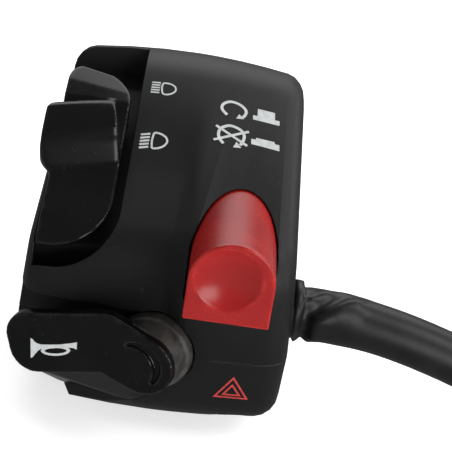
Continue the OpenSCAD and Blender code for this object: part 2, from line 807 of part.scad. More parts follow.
upper_housing();
lower_housing();
housing_screws();
beam_lever();
beam_wiper();
beam_pivot_pin();
beam_contact_base();
beam_terminals();
stop_button();
stop_contact_bridge();
stop_spring();
stop_contact_base();
stop_terminals();
horn_lever();
horn_clip();
horn_return_spring();
horn_moving_contact();
horn_contact_bracket();
hazard_slider();
hazard_moving_contact();
hazard_contact_base();
cable_grommet();
cable_sleeve();
cable_coil();
cable_tie();
connector_leads();
connector_housing();
connector_terminals();
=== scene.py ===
import math

import bmesh
import bpy
from mathutils import Matrix, Vector, noise


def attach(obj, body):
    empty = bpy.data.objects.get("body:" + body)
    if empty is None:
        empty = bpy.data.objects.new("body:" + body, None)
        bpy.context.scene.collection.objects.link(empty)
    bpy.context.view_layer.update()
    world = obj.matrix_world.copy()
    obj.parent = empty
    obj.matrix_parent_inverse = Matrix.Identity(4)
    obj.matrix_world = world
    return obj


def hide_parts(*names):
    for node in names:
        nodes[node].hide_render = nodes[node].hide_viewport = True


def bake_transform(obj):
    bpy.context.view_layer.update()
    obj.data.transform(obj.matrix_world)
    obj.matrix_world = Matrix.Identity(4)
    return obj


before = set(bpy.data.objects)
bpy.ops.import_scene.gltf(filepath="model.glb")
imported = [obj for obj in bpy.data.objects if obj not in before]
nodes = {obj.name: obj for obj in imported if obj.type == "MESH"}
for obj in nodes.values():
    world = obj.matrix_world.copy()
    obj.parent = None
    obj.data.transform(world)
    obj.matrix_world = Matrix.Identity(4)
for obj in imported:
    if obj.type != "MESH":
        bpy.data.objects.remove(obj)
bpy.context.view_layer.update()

mm = 0.001
mergeGap = 0.002 * mm
sharpBend = math.radians(35)
rubbedBend = math.radians(8)
tubeBend = math.radians(40)
quadBend = math.radians(4)
quadSkew = math.radians(60)


def pickOnly(obj):
    bpy.ops.object.select_all(action="DESELECT")
    obj.select_set(True)
    bpy.context.view_layer.objects.active = obj


def applyModifiers(obj):
    pickOnly(obj)
    for mod in list(obj.modifiers):
        bpy.ops.object.modifier_apply(modifier=mod.name)


def openCopy(nodeName, pieceName, looks):
    # a merged copy of a CAD node's mesh, left in edit mode with everything selected
    piece = bpy.data.objects.new(pieceName, nodes[nodeName].data.copy())
    bpy.context.scene.collection.objects.link(piece)
    piece.data.name = pieceName
    piece.data.materials.clear()
    for look in looks:
        piece.data.materials.append(look)
    pickOnly(piece)
    bpy.ops.object.mode_set(mode="EDIT")
    bpy.ops.mesh.select_all(action="SELECT")
    bpy.ops.mesh.customdata_custom_splitnormals_clear()
    bpy.ops.mesh.remove_doubles(threshold=mergeGap)
    return piece


def ease(t):
    # a smooth step from 0 to 1
    t = max(0.0, min(1.0, t))
    return t * t * (3 - 2 * t)


def bell(away, wide):
    return math.exp(-(away / wide) ** 2)


def bowLine(points, closed=False, steps=6):
    # a smooth line through the points
    points = [Vector(p) for p in points]
    count, line = len(points), []
    for i in range(count if closed else count - 1):
        a, b = points[i], points[(i + 1) % count]
        before = points[i - 1] if closed or i else a * 2 - b
        after = points[(i + 2) % count] if closed or i + 2 < count else b * 2 - a
        for k in range(steps):
            t = k / steps
            line.append(0.5 * (2 * a + (b - before) * t + (2 * before - 5 * a + 4 * b - after) * t * t
                               + (3 * a - before - 3 * b + after) * t ** 3))
    return line if closed else line + [points[-1]]


# camera, set to the photograph's own angle
cameraView = {
    "target": Vector((10.7, -14.8, 20.2)) * mm,
    "distance": 250 * mm,
    "elevation": 27.0,
    "azimuth": -2.0,
    "roll": 9.2,
    "lens": 107.6,
    "sensor": 36,
    "nearest": 5 * mm,
}


def makeCamera(s):
    el, az, roll = (math.radians(s[k]) for k in ("elevation", "azimuth", "roll"))
    back = Vector((math.sin(az) * math.cos(el), -math.cos(az) * math.cos(el), math.sin(el)))
    right = Vector((math.cos(az), math.sin(az), 0))
    up = back.cross(right)
    across = right * math.cos(roll) + up * math.sin(roll)
    above = up * math.cos(roll) - right * math.sin(roll)
    turn = Matrix((across, above, back)).transposed().to_4x4()
    bpy.ops.object.camera_add()
    camera = bpy.context.object
    camera.name = "studioCamera"
    camera.matrix_world = Matrix.Translation(s["target"] + back * s["distance"]) @ turn
    camera.data.lens = s["lens"]
    camera.data.sensor_width = s["sensor"]
    camera.data.clip_start = s["nearest"]
    bpy.context.scene.camera = camera


makeCamera(cameraView)
print("camera set")


# one socket of a material's nodes; sums and products of wires add Math nodes
class Wire:
    def __init__(self, tree, socket):
        self.tree = tree
        self.socket = socket

    def node(self, kind, settings=None, inputs=None, output=0):
        made = self.tree.nodes.new(kind)
        for key, value in (settings or {}).items():
            setattr(made, key, value)
        for key, value in (inputs or {}).items():
            if isinstance(value, Wire):
                self.tree.links.new(value.socket, made.inputs[key])
            else:
                made.inputs[key].default_value = value
        return Wire(self.tree, made.outputs[output])

    def math(self, operation, a, b=0.0):
        return self.node("ShaderNodeMath", {"operation": operation}, {0: a, 1: b})

    def __add__(self, other):
        return self.math("ADD", self, other)

    def __radd__(self, other):
        return self.math("ADD", other, self)

    def __sub__(self, other):
        return self.math("SUBTRACT", self, other)

    def __rsub__(self, other):
        return self.math("SUBTRACT", other, self)

    def __mul__(self, other):
        return self.math("MULTIPLY", self, other)

    def __rmul__(self, other):
        return self.math("MULTIPLY", other, self)

    def noise(self, scale, detail=2.0, rough=0.5, stretch=(1, 1, 1)):
        spread = self.node("ShaderNodeMapping", None, {"Vector": self, "Scale": stretch})
        return self.node(
            "ShaderNodeTexNoise", None,
            {"Vector": spread, "Scale": scale, "Detail": detail, "Roughness": rough},
        )

    def step(self, low, high):
        # 0 below low, 1 above high, smooth between
        return self.node(
            "ShaderNodeMapRange", {"interpolation_type": "SMOOTHSTEP"},
            {"Value": self, "From Min": low, "From Max": high},
        )

    def blend(self, first, second):
        return self.node(
            "ShaderNodeMix", {"data_type": "RGBA"},
            {"Factor": self, "A": first, "B": second}, output=2,
        )


def rgb(r, g, b):
    return (r, g, b, 1.0)


# a finish starts as the shader, its fixed values and the piece's own coordinates
def newFinish(name, fixed):
    mat = bpy.data.materials.new(name)
    mat.use_nodes = True
    shader = mat.node_tree.nodes["Principled BSDF"]
    for key, value in fixed.items():
        shader.inputs[key].default_value = value
    place = mat.node_tree.nodes.new("ShaderNodeTexCoord")
    return mat, shader, Wire(mat.node_tree, place.outputs["Object"])


def feed(shader, wires):
    for key, wire in wires.items():
        wire.tree.links.new(wire.socket, shader.inputs[key])


def bumpOf(height, strength, distance):
    return height.node(
        "ShaderNodeBump", None, {"Height": height, "Strength": strength, "Distance": distance}
    )


# where each pattern's noise starts and where it is full
speckEdge = (0.73, 0.78)
mottleEdge = (0.3, 0.7)
tarnishEdge = (0.45, 0.75)


# moulded plastic: fine spark grain, slow mottle, a few rubbed specks
def plasticFinish(name, s):
    mat, shader, at = newFinish(name, s.get("fixed", {}))
    mottle = at.noise(s["mottle"], detail=3.0)
    grain = at.noise(s["grain"], detail=2.0, rough=0.6)
    specks = at.noise(s["specks"], detail=1.0).step(*speckEdge)
    colour = mottle.step(*mottleEdge).blend(s["dark"], s["light"])
    feed(shader, {
        "Base Color": (specks * s["speckMix"]).blend(colour, s["speckColour"]),
        "Roughness": s["rough"] + (mottle - 0.5) * s["roughMottle"] + (grain - 0.5) * s["roughGrain"],
        "Normal": bumpOf(grain + mottle * s["wave"], s["bump"], s["depth"]),
    })
    return mat


# rolled or turned metal: drawn streaks and a little tarnish
def metalFinish(name, s):
    mat, shader, at = newFinish(name, {"Metallic": 1.0})
    streak = at.noise(s["streak"], detail=3.0, rough=0.6, stretch=s["along"])
    tarnish = at.noise(s["tarnish"], detail=4.0).step(*tarnishEdge)
    feed(shader, {
        "Base Color": tarnish.blend(s["bright"], s["dull"]),
        "Roughness": s["rough"] + (streak - 0.5) * s["roughStreak"] + tarnish * s["roughTarnish"],
        "Normal": bumpOf(streak, s["bump"], s["depth"]),
    })
    return mat


plastics = {
    "satinBlack": {
        "fixed": {"Specular IOR Level": 0.3},
        "dark": rgb(0.0042, 0.0046, 0.0044), "light": rgb(0.0062, 0.0066, 0.0062),
        "rubbed": rgb(0.014, 0.0144, 0.0138),
        "mottle": 55, "grain": 3600, "specks": 900, "speckMix": 0.25, "speckColour": rgb(0.04, 0.04, 0.038),
        "rough": 0.50, "roughMottle": 0.08, "roughGrain": 0.10, "wave": 0.4, "bump": 0.16, "depth": 0.00004,
    },
    "glossBlack": {
        "fixed": {"Specular IOR Level": 0.22},
        "dark": rgb(0.0032, 0.0034, 0.0036), "light": rgb(0.0048, 0.0048, 0.005),
        "rubbed": rgb(0.012, 0.012, 0.0118),
        "mottle": 90, "grain": 1800, "specks": 1300, "speckMix": 0.3, "speckColour": rgb(0.05, 0.05, 0.048),
        "rough": 0.16, "roughMottle": 0.08, "roughGrain": 0.05, "wave": 2.0, "bump": 0.05, "depth": 0.00004,
    },
    "stopRed": {
        "fixed": {"Specular IOR Level": 0.32},
        "dark": rgb(0.30, 0.0095, 0.009), "light": rgb(0.35, 0.012, 0.011), "rubbed": rgb(0.40, 0.02, 0.018),
        "mottle": 120, "grain": 2600, "specks": 1100, "speckMix": 0.12, "speckColour": rgb(0.5, 0.1, 0.09),
        "rough": 0.27, "roughMottle": 0.08, "roughGrain": 0.05, "wave": 1.2, "bump": 0.06, "depth": 0.00004,
    },
    # the hub's side: lighter than the other blacks, partly dust and partly a painted sheen standing in for
    # light from the right and above
    "hubDustAndPaintedSheen": {
        "fixed": {"Specular IOR Level": 0.5},
        "dark": rgb(0.018, 0.0176, 0.0165), "light": rgb(0.052, 0.0505, 0.047),
        "mottle": 420, "grain": 2400, "specks": 1500, "speckMix": 0.35,
        "speckColour": rgb(0.12, 0.115, 0.105),
        "rough": 0.46, "roughMottle": 0.16, "roughGrain": 0.08, "wave": 1.6, "bump": 0.1, "depth": 0.00005,
    },
    "softBlack": {
        "fixed": {"Specular IOR Level": 0.3},
        "dark": rgb(0.005, 0.005, 0.0048), "light": rgb(0.009, 0.009, 0.0086),
        "mottle": 140, "grain": 900, "specks": 700, "speckMix": 0.2, "speckColour": rgb(0.04, 0.04, 0.038),
        "rough": 0.42, "roughMottle": 0.16, "roughGrain": 0.08, "wave": 3.0, "bump": 0.18, "depth": 0.0001,
    },
    "tieBlack": {
        "dark": rgb(0.012, 0.012, 0.012), "light": rgb(0.02, 0.02, 0.02),
        "mottle": 160, "grain": 2200, "specks": 900, "speckMix": 0.2, "speckColour": rgb(0.06, 0.06, 0.06),
        "rough": 0.38, "roughMottle": 0.1, "roughGrain": 0.08, "wave": 1.0, "bump": 0.12, "depth": 0.00005,
    },
    "boardBrown": {
        "dark": rgb(0.10, 0.045, 0.018), "light": rgb(0.22, 0.11, 0.045),
        "mottle": 700, "grain": 2600, "specks": 1500, "speckMix": 0.4, "speckColour": rgb(0.30, 0.18, 0.09),
        "rough": 0.55, "roughMottle": 0.1, "roughGrain": 0.1, "wave": 1.0, "bump": 0.15, "depth": 0.00005,
    },
    "connectorWhite": {
        "dark": rgb(0.66, 0.64, 0.57), "light": rgb(0.76, 0.74, 0.67), "rubbed": rgb(0.8, 0.79, 0.74),
        "mottle": 130, "grain": 2400, "specks": 800, "speckMix": 0.15, "speckColour": rgb(0.45, 0.42, 0.36),
        "rough": 0.40, "roughMottle": 0.1, "roughGrain": 0.06, "wave": 1.0, "bump": 0.1, "depth": 0.00005,
    },
    "inkWhite": {
        "dark": rgb(0.52, 0.54, 0.54), "light": rgb(0.62, 0.64, 0.64),
        "mottle": 900, "grain": 3200, "specks": 2400, "speckMix": 0.35, "speckColour": rgb(0.25, 0.26, 0.26),
        "rough": 0.55, "roughMottle": 0.1, "roughGrain": 0.1, "wave": 0.5, "bump": 0.12, "depth": 0.00003,
    },
    "inkRed": {
        "dark": rgb(0.40, 0.022, 0.020), "light": rgb(0.50, 0.032, 0.030),
        "mottle": 900, "grain": 3200, "specks": 2400, "speckMix": 0.35, "speckColour": rgb(0.16, 0.02, 0.02),
        "rough": 0.55, "roughMottle": 0.1, "roughGrain": 0.1, "wave": 0.5, "bump": 0.12, "depth": 0.00003,
    },
}
metals = {
    "zincSteel": {
        "bright": rgb(0.62, 0.62, 0.61), "dull": rgb(0.42, 0.42, 0.41),
        "streak": 900, "along": (1, 1, 6), "tarnish": 260,
        "rough": 0.30, "roughStreak": 0.2, "roughTarnish": 0.12, "bump": 0.12, "depth": 0.00005,
    },
    "contactBrass": {
        "bright": rgb(0.76, 0.56, 0.24), "dull": rgb(0.45, 0.29, 0.11),
        "streak": 1100, "along": (8, 1, 1), "tarnish": 320,
        "rough": 0.28, "roughStreak": 0.2, "roughTarnish": 0.12, "bump": 0.12, "depth": 0.00005,
    },
}
edgeWear = {"finer": 4, "smoother": 0.8}
finishes = {name: plasticFinish(name, s) for name, s in plastics.items()}
for name, s in plastics.items():
    if "rubbed" in s:
        # handled edges: lighter and smoother in patches
        finishes[name + "Edge"] = plasticFinish(name + "Edge", dict(
            s, light=s["rubbed"], mottle=s["mottle"] * edgeWear["finer"],
            rough=s["rough"] * edgeWear["smoother"],
        ))
finishes.update({name: metalFinish(name, s) for name, s in metals.items()})
print("finishes made:", len(finishes))


# the sleeved cable: leaves the inboard end, sinks to the floor, and lies there in a flat coil
cable = {
    "exit": (25.6, -17.0, 6.0),
    "diameter": 9.5,
    "run": [(26.5, 6), (32, 5.5), (44, 3.8), (56, 0.5), (68, -4), (80, -9), (90, -12.7), (99, -14.35)],
    "level": -17.0,
    "coilStart": (117.0, -17.0, -14.35),
    "coilRadius": 50.0,
    "coilShrink": 12.0,
    "coilTurns": 1.5,
    "pointsPerTurn": 24,
    "coilEnd": 9.5,
    "around": 64,
    "mouth": 26.0,
    "mouthStep": 0.4,
    "runStep": 2.2,
    "pathStep": 5.0,
    "endRing": 0.7,
    "endPlug": 0.05,
    "skinRepeat": 0.05,
}


def cablePath(s):
    startX, startY, startZ = s["coilStart"]
    points = [Vector(s["exit"])] + [Vector((x, s["level"], z)) for x, z in s["run"]]
    points.append(Vector((startX - s["coilEnd"], startY, startZ)))
    middleY = startY + s["coilRadius"]
    for i in range(int(s["coilTurns"] * s["pointsPerTurn"]) + 1):
        a = math.radians(360.0 * i / s["pointsPerTurn"])
        r = s["coilRadius"] - s["coilShrink"] * a / (2 * math.pi)
        points.append(Vector((startX + r * math.sin(a), middleY - r * math.cos(a), startZ)))
    points.append(points[-1] + Vector((-s["coilEnd"], 0, 0)))
    return points


def evenLine(points, step):
    # a smooth line through the points, read off every step of its length
    dense = bowLine(points, steps=24)
    line, along, reach = [dense[0]], 0.0, 0.0
    for a, b in zip(dense, dense[1:]):
        along += (b - a).length
        if along - reach >= step(reach):
            line.append(b)
            reach = along
    return line


# the crumpled mouth: fold lines as distance from the exit and turn from the top towards the front
mouthFolds = {
    "shelf": [(4.8, 132), (4.4, 100), (4.4, 80), (5.3, 70), (6.1, 56), (7.7, 38), (9.2, 24), (10.0, 18),
              (11.6, 11)],
    "lip": 0.75, "spread": 2.6, "fall": 1.9, "deep": 0.95, "recover": 2.6, "shelfEnd": 13.6, "shelfFade": 3.0,
    "facing": 60,
    "brow": [(0.2, 36), (2.8, 26), (5.6, -4)],
    "browHeight": 0.45, "browWidth": 0.9,
    "crush": 0.3, "crushAlong": 0.3, "crushRound": 1.9, "crushEnd": 9.0, "crushFade": 5.0,
    "hump": {"height": 0.5, "at": 10.0, "wide": 4.0},
    "sink": {"height": 0.9, "wide": 3.0},
    "belly": {"height": 0.35, "at": 7.0, "wide": 5.0},
    "collar": 0.85, "collarEnd": 0.8, "collarFade": 0.7,
    "tears": [
        {"at": 1.5, "turn": 165, "height": 1.7, "wide": 0.45, "arc": 22},
        {"at": 4.1, "turn": 160, "height": 0.6, "wide": 1.3, "arc": 40},
        {"at": 0.6, "turn": 195, "height": 0.5, "wide": 0.4, "arc": 14},
    ],
}
# slow waves all along the sleeve
sleeveSlack = {"height": 0.1, "along": 0.035, "oval": 0.08, "twist": 0.02}


def nearFold(fold, along, arc, radius):
    # distance to the fold line, in mm on the unrolled tube, and its side, plus below the fold
    best, side = 1e9, 1.0
    for (s0, t0), (s1, t1) in zip(fold, fold[1:]):
        a = Vector((s0, math.radians(t0) * radius))
        b = Vector((s1, math.radians(t1) * radius))
        p = Vector((along, arc))
        t = max(0.0, min(1.0, (p - a).dot(b - a) / (b - a).length_squared))
        gap = p - (a + (b - a) * t)
        if gap.length < best:
            best = gap.length
            side = 1.0 if (b - a).cross(gap) > 0 else -1.0
    return best, side


def shelfLift(folds, gap, side):
    # a bulge below the fold, a drop to a trough above it
    if side > 0:
        return folds["lip"] * bell(gap, folds["spread"])
    drop = ease(gap / folds["fall"])
    back = ease((gap - folds["fall"]) / folds["recover"])
    return folds["lip"] - (folds["lip"] + folds["deep"]) * drop + folds["deep"] * back


def halfTurn(angle):
    # the same angle between minus and plus half a turn
    return (angle + math.pi) % (2 * math.pi) - math.pi


def mouthSwell(folds, radius, along, turn):
    # how far the crumpled mouth stands from the sleeve's round form at one place
    face = halfTurn(turn)
    above, below = max(0.0, math.cos(turn)), max(0.0, -math.cos(turn))
    front = max(0.0, math.cos(face - math.radians(folds["facing"]))) ** 0.5
    fold = shelfLift(folds, *nearFold(folds["shelf"], along, face * radius, radius))
    fold *= ease((folds["shelfEnd"] - along) / folds["shelfFade"])
    gap, _ = nearFold(folds["brow"], along, face * radius, radius)
    fold += folds["browHeight"] * bell(gap, folds["browWidth"])
    wrap = folds["crushRound"]
    crush = folds["crush"] * noise.noise(
        Vector((along * folds["crushAlong"], wrap * math.cos(turn), wrap * math.sin(turn))))
    crush *= ease((folds["crushEnd"] - along) / folds["crushFade"])
    hump, sink, belly = folds["hump"], folds["sink"], folds["belly"]
    droop = hump["height"] * above ** 2 * bell(along - hump["at"], hump["wide"])
    droop -= sink["height"] * above * math.exp(-along / sink["wide"])
    droop += belly["height"] * below * bell(along - belly["at"], belly["wide"])
    cover = ease((folds["collarEnd"] + folds["collarFade"] - along) / folds["collarFade"])
    tears = 0.0
    for tear in folds["tears"]:
        aside = bell(halfTurn(turn - math.radians(tear["turn"])), math.radians(tear["arc"]))
        tears += tear["height"] * bell(along - tear["at"], tear["wide"]) * aside
    return (fold * front + crush + droop) * (1 - cover) + folds["collar"] * cover + tears


def sleeveSwell(s, folds, slack, along, turn):
    swell = slack["height"] * noise.noise(Vector((along * slack["along"], math.cos(turn), math.sin(turn))))
    swell += slack["oval"] * math.cos(2 * turn + along * slack["twist"])
    if along <= s["mouth"]:
        swell += mouthSwell(folds, s["diameter"] / 2, along, turn)
    return swell


def makeCable(s, folds, slack, finish):
    line = evenLine(cablePath(s), lambda at: s["mouthStep"] if at < s["mouth"] else s["runStep"])
    radius = s["diameter"] / 2
    mesh = bpy.data.meshes.new("cableSleeve")
    made = bmesh.new()
    rings, along, skin = [], 0.0, made.loops.layers.uv.new("sleeve")
    for i, point in enumerate(line):
        ahead, behind = line[min(i + 1, len(line) - 1)], line[max(i - 1, 0)]
        heading = (ahead - behind).normalized()
        front = heading.cross(Vector((0, 0, 1))).normalized()
        above = front.cross(heading)
        along += (point - behind).length if i else 0.0
        ring = []
        for k in range(s["around"]):
            turn = 2 * math.pi * k / s["around"]
            outward = above * math.cos(turn) + front * math.sin(turn)
            reach = radius + sleeveSwell(s, folds, slack, along, turn)
            ring.append(made.verts.new((point + outward * reach) * mm))
        rings.append((ring, along))
    for (ringA, atA), (ringB, atB) in zip(rings, rings[1:]):
        for k in range(s["around"]):
            j = (k + 1) % s["around"]
            face = made.faces.new((ringA[k], ringA[j], ringB[j], ringB[k]))
            face.smooth = True
            for loop, (u, v) in zip(face.loops, ((k, atA), (k + 1, atA), (k + 1, atB), (k, atB))):
                loop[skin].uv = (u / s["around"], v * s["skinRepeat"])
    # both ends are turned in and closed
    for ring in (rings[0][0], rings[-1][0]):
        middle = sum((v.co for v in ring), Vector()) / len(ring)
        inner = [made.verts.new(middle + (v.co - middle) * s["endRing"]) for v in ring]
        plug = [made.verts.new(middle + (v.co - middle) * s["endPlug"]) for v in ring]
        for outerLoop, innerLoop in ((ring, inner), (inner, plug)):
            for k in range(s["around"]):
                j = (k + 1) % s["around"]
                made.faces.new((outerLoop[k], outerLoop[j], innerLoop[j], innerLoop[k]))
        made.faces.new(plug)
    bmesh.ops.recalc_face_normals(made, faces=made.faces)
    made.to_mesh(mesh)
    made.free()
    piece = bpy.data.objects.new("cableSleeve", mesh)
    bpy.context.scene.collection.objects.link(piece)
    mesh.materials.append(finish)
    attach(piece, "housing")
    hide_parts("cable_sleeve", "cable_coil")
    return piece


def declareCable(s):
    path = evenLine(cablePath(s), lambda at: s["pathStep"])
    path.append(cablePath(s)[-1])
    length = sum((b - a).length for a, b in zip(path, path[1:])) * mm
    [p * mm for p in path]
    return length


cableSleeve = makeCable(cable, mouthFolds, sleeveSlack, finishes["softBlack"])
print("cable laid")


# moulded parts: a merged copy of the CAD node, its outer edges rounded
def roundEdges(piece, s):
    shape = bmesh.new()
    shape.from_mesh(piece.data)
    weight = shape.edges.layers.float.new("bevel_weight_edge")
    for edge in shape.edges:
        if len(edge.link_faces) == 2 and edge.is_convex and edge.calc_face_angle(0.0) >= sharpBend:
            edge[weight] = 1.0
    shape.to_mesh(piece.data)
    shape.free()
    bevel = piece.modifiers.new("edges", "BEVEL")
    bevel.width = s["edge"] * mm
    bevel.segments = 3
    bevel.limit_method = "WEIGHT"
    bevel.use_clamp_overlap = False
    bevel.miter_outer = "MITER_ARC"
    bevel.material = 1
    applyModifiers(piece)
    bpy.ops.object.shade_smooth_by_angle(angle=sharpBend)


def pressDish(piece, s):
    # the thumb dish, set off-centre and a little deeper towards its middle
    for vert in piece.data.vertices:
        x, y, z = vert.co / mm
        out = math.hypot(x - s["middle"][0], z - s["middle"][1])
        hold = max(0.0, min(1.0, (s["radius"] + s["fade"] - out) / s["fade"]))
        if y > s["face"] + s["behind"] or not hold:
            continue
        deep = s["face"] + (y - s["face"]) * s["deeper"] if out < s["radius"] else y
        vert.co = Vector((x + s["shift"][0] * hold, deep, z + s["shift"][1] * hold)) * mm


def onHub(face, s):
    # the round side of the hub, which gets the lighter hub finish: some dust, and a painted sheen for the
    # light that falls on it from the right
    place, axis = face.calc_center_median() / mm - Vector(s["seat"]), Vector(s["axis"])
    up = place.dot(axis)
    beside = abs(face.normal.dot(axis)) < s["upright"]
    return beside and up < s["below"] and (place - axis * up).length < s["radius"]


def fillHub(piece, s):
    # the hub's side runs straight up to the paddle
    axis, (low, high) = Vector(s["axis"]), s["rise"]
    bpy.ops.object.select_all(action="DESELECT")
    bpy.ops.mesh.primitive_cone_add(
        vertices=s["sides"], radius1=s["foot"] * mm, radius2=s["top"] * mm, depth=(high - low) * mm,
        location=(Vector(s["seat"]) + axis * (low + high) / 2) * mm,
        rotation=axis.to_track_quat("Z", "Y").to_euler(),
    )
    bpy.context.object.data.materials.append(finishes[s["finish"]])
    piece.select_set(True)
    bpy.context.view_layer.objects.active = piece
    bpy.ops.object.join()


def bendLever(piece, s):
    # the rib stands fuller along its crest; the plate behind it leans back and runs further out at the left
    rib, tail, (frontY, frontZ) = s["rib"], s["tail"], s["front"]
    rise, run = math.sin(math.radians(s["slope"])), math.cos(math.radians(s["slope"]))
    for vert in piece.data.vertices:
        x, y, z = vert.co / mm
        along = (y - frontY) * run + (z - frontZ) * rise
        up = (z - frontZ) * run - (y - frontY) * rise
        if up < s["under"]:
            continue
        over = max(0.0, (along - rib["brow"]) / (rib["end"] - rib["brow"]))
        full = ease((along - rib["start"]) / (rib["brow"] - rib["start"])) * max(0.0, 1 - over * over)
        side = (x - s["middle"]) / s["half"]
        onRib = ease((up - rib["foot"]) / rib["fade"])
        back = (along - tail["start"]) / (tail["end"] - tail["start"])
        lean = tail["high"] + (tail["low"] - tail["high"]) * back
        lift = rib["lift"] * (1 + rib["twist"] * side) * full * onRib
        lift += lean * ease((along - tail["start"]) / tail["fade"]) * (1 - onRib)
        reach = (tail["reach"] - tail["skew"] * side) * ease(back)
        vert.co += Vector((0, reach * run - lift * rise, reach * rise + lift * run)) * mm


def meltEdges(piece, s):
    # an even fine mesh, relaxed so that every edge turns round
    if "hub" in s:
        fillHub(piece, s["hub"])
    grid = piece.modifiers.new("grid", "REMESH")
    grid.mode = "VOXEL"
    grid.voxel_size = s["grid"] * mm
    relax = piece.modifiers.new("relax", "SMOOTH")
    relax.factor = 0.5
    relax.iterations = s["relax"]
    applyModifiers(piece)
    bpy.ops.object.shade_smooth()
    if "dish" in s:
        pressDish(piece, s["dish"])
    if "bend" in s:
        bendLever(piece, s["bend"])
    shape = bmesh.new()
    shape.from_mesh(piece.data)
    for face in shape.faces:
        bend = max(edge.calc_face_angle_signed(0.0) for edge in face.edges)
        face.material_index = 1 if bend > rubbedBend else 0
        # faces on the hub's side take the hub finish, lighter with dust and a painted sheen
        if "hub" in s and onHub(face, s["hub"]):
            face.material_index = 2
    shape.to_mesh(piece.data)
    shape.free()


def softEdged(nodeName, pieceName, body, finish, s):
    piece = openCopy(nodeName, pieceName, [finishes[finish], finishes[finish + "Edge"]])
    if "flat" in s:
        bpy.ops.mesh.dissolve_limited(angle_limit=math.radians(s["flat"]))
    else:
        bpy.ops.mesh.tris_convert_to_quads(face_threshold=quadBend, shape_threshold=quadSkew)
    bpy.ops.object.mode_set(mode="OBJECT")
    for face in piece.data.polygons:
        face.material_index = 0
    if "grid" in s:
        meltEdges(piece, s)
    else:
        roundEdges(piece, s)
    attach(piece, body)
    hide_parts(nodeName)
    return piece


moulded = {
    "upperHousing": ("upper_housing", "housing", "satin_black", "satinBlack", {"edge": 0.25, "flat": 0.5}),
    "lowerHousing": ("lower_housing", "housing", "satin_black", "satinBlack", {"edge": 0.25, "flat": 0.5}),
    "beamLever": ("beam_lever", "beam_lever", "gloss_black", "glossBlack", {
        "grid": 0.2, "relax": 36, "bend": {
            "front": (-30.0, 21.0), "slope": 27.1, "under": -5.0, "middle": -16.6, "half": 6.3,
            "rib": {
                "start": 17.5, "brow": 25.0, "end": 32.5,
                "lift": 1.3, "twist": 0.45, "foot": -1.1, "fade": 3.0,
            },
            "tail": {
                "start": 31.2, "end": 41.0, "fade": 2.2,
                "high": 1.4, "low": -0.1, "reach": 0.3, "skew": 1.5,
            },
        },
    }),
    "stopButton": ("stop_button", "stop_button", "red", "stopRed", {
        "grid": 0.22, "relax": 5, "dish": {
            "middle": (12.5, 20.0), "radius": 6.0, "face": -36.5, "behind": 3.0,
            "shift": (-0.6, 0.9), "deeper": 1.2, "fade": 1.5,
        },
    }),
    "hornLever": ("horn_lever", "horn_lever", "gloss_black", "glossBlack", {
        # the hub's finish holds a painted sheen as well as dust
        "grid": 0.2, "relax": 16, "hub": {
            "finish": "hubDustAndPaintedSheen", "seat": (1.2, -27.0, 0.0), "axis": (-0.2756, -0.9613, 0.0), "sides": 96,
            "rise": (1.2, 7.2), "foot": 7.3, "top": 5.9, "below": 6.6, "radius": 7.8, "upright": 0.7,
        },
    }),
    "hazardSlider": ("hazard_slider", "hazard_slider", "gloss_black", "glossBlack", {"edge": 0.2}),
    "connectorHousing": ("connector_housing", "housing", "connector_white", "connectorWhite", {"edge": 0.25}),
}
for name, (node, body, slot, finish, s) in moulded.items():
    softEdged(node, name, body, finish, s)


# printed signs: flat shapes in mm, drawn to the right and up on the face that carries them
cornerLimit = 0.3  # keeps a sharp corner of a line from running out to a spike


def offsetLine(points, reach, closed):
    moved, count = [], len(points)
    for i, p in enumerate(points):
        ahead = points[(i + 1) % count] if closed or i + 1 < count else None
        behind = points[i - 1] if closed or i else None
        outward = (ahead - p).normalized() if ahead is not None else (p - behind).normalized()
        inward = (p - behind).normalized() if behind is not None else outward
        side = Vector((-inward.y - outward.y, inward.x + outward.x)).normalized()
        square = max(cornerLimit, side.dot(Vector((-inward.y, inward.x))))
        moved.append(p + side * (reach / square))
    return moved


def stroke(points, width):
    line = [Vector(p) for p in points]
    return [offsetLine(line, width / 2, closed=False) + offsetLine(line, -width / 2, closed=False)[::-1]]


def ring(points, width, inside=False):
    line = [Vector(p) for p in points]
    turning = sum(a.cross(b) for a, b in zip(line, line[1:] + line[:1]))
    inner = width if turning > 0 else -width
    if inside:
        return [line, offsetLine(line, inner, closed=True)]
    return [offsetLine(line, -inner / 2, closed=True), offsetLine(line, inner / 2, closed=True)]


def ellipse(middle, along, across, steps=48):
    middle, along, across = Vector(middle), Vector(along), Vector(across)
    turns = [2 * math.pi * i / steps for i in range(steps)]
    return [middle + along * math.cos(a) + across * math.sin(a) for a in turns]


def lampSign(s):
    # a lamp seen from the side, with its rays
    shapes = []
    for i in range(s["rays"]):
        low = s["rayTop"] - s["rayGap"] * i
        shapes.append(stroke([(s["rayLeft"], low), (s["rayRight"], low + s["raySlant"])], s["rayWidth"]))
    shapes.append(ring(bowLine(s["lamp"], closed=True), s["lampWidth"]))
    return shapes


def arrowSign(s):
    shapes = [stroke(bowLine(s["turn"]), s["width"]), [[Vector(p) for p in s["head"]]]]
    shapes += [stroke(bar, s["barWidth"]) for bar in s.get("bars", [])]
    return shapes


def hornSign(s):
    loop = [ellipse(*s["loop"]), ellipse(*s["hole"])]
    return [[[Vector(p) for p in s["trumpet"]]], loop]


def buttonSign(s):
    return [[[Vector(p) for p in s["outline"]]]]


def triangleSign(s):
    return [ring(s["outer"], s["width"], inside=True), ring(s["inner"], s["width"], inside=True)]


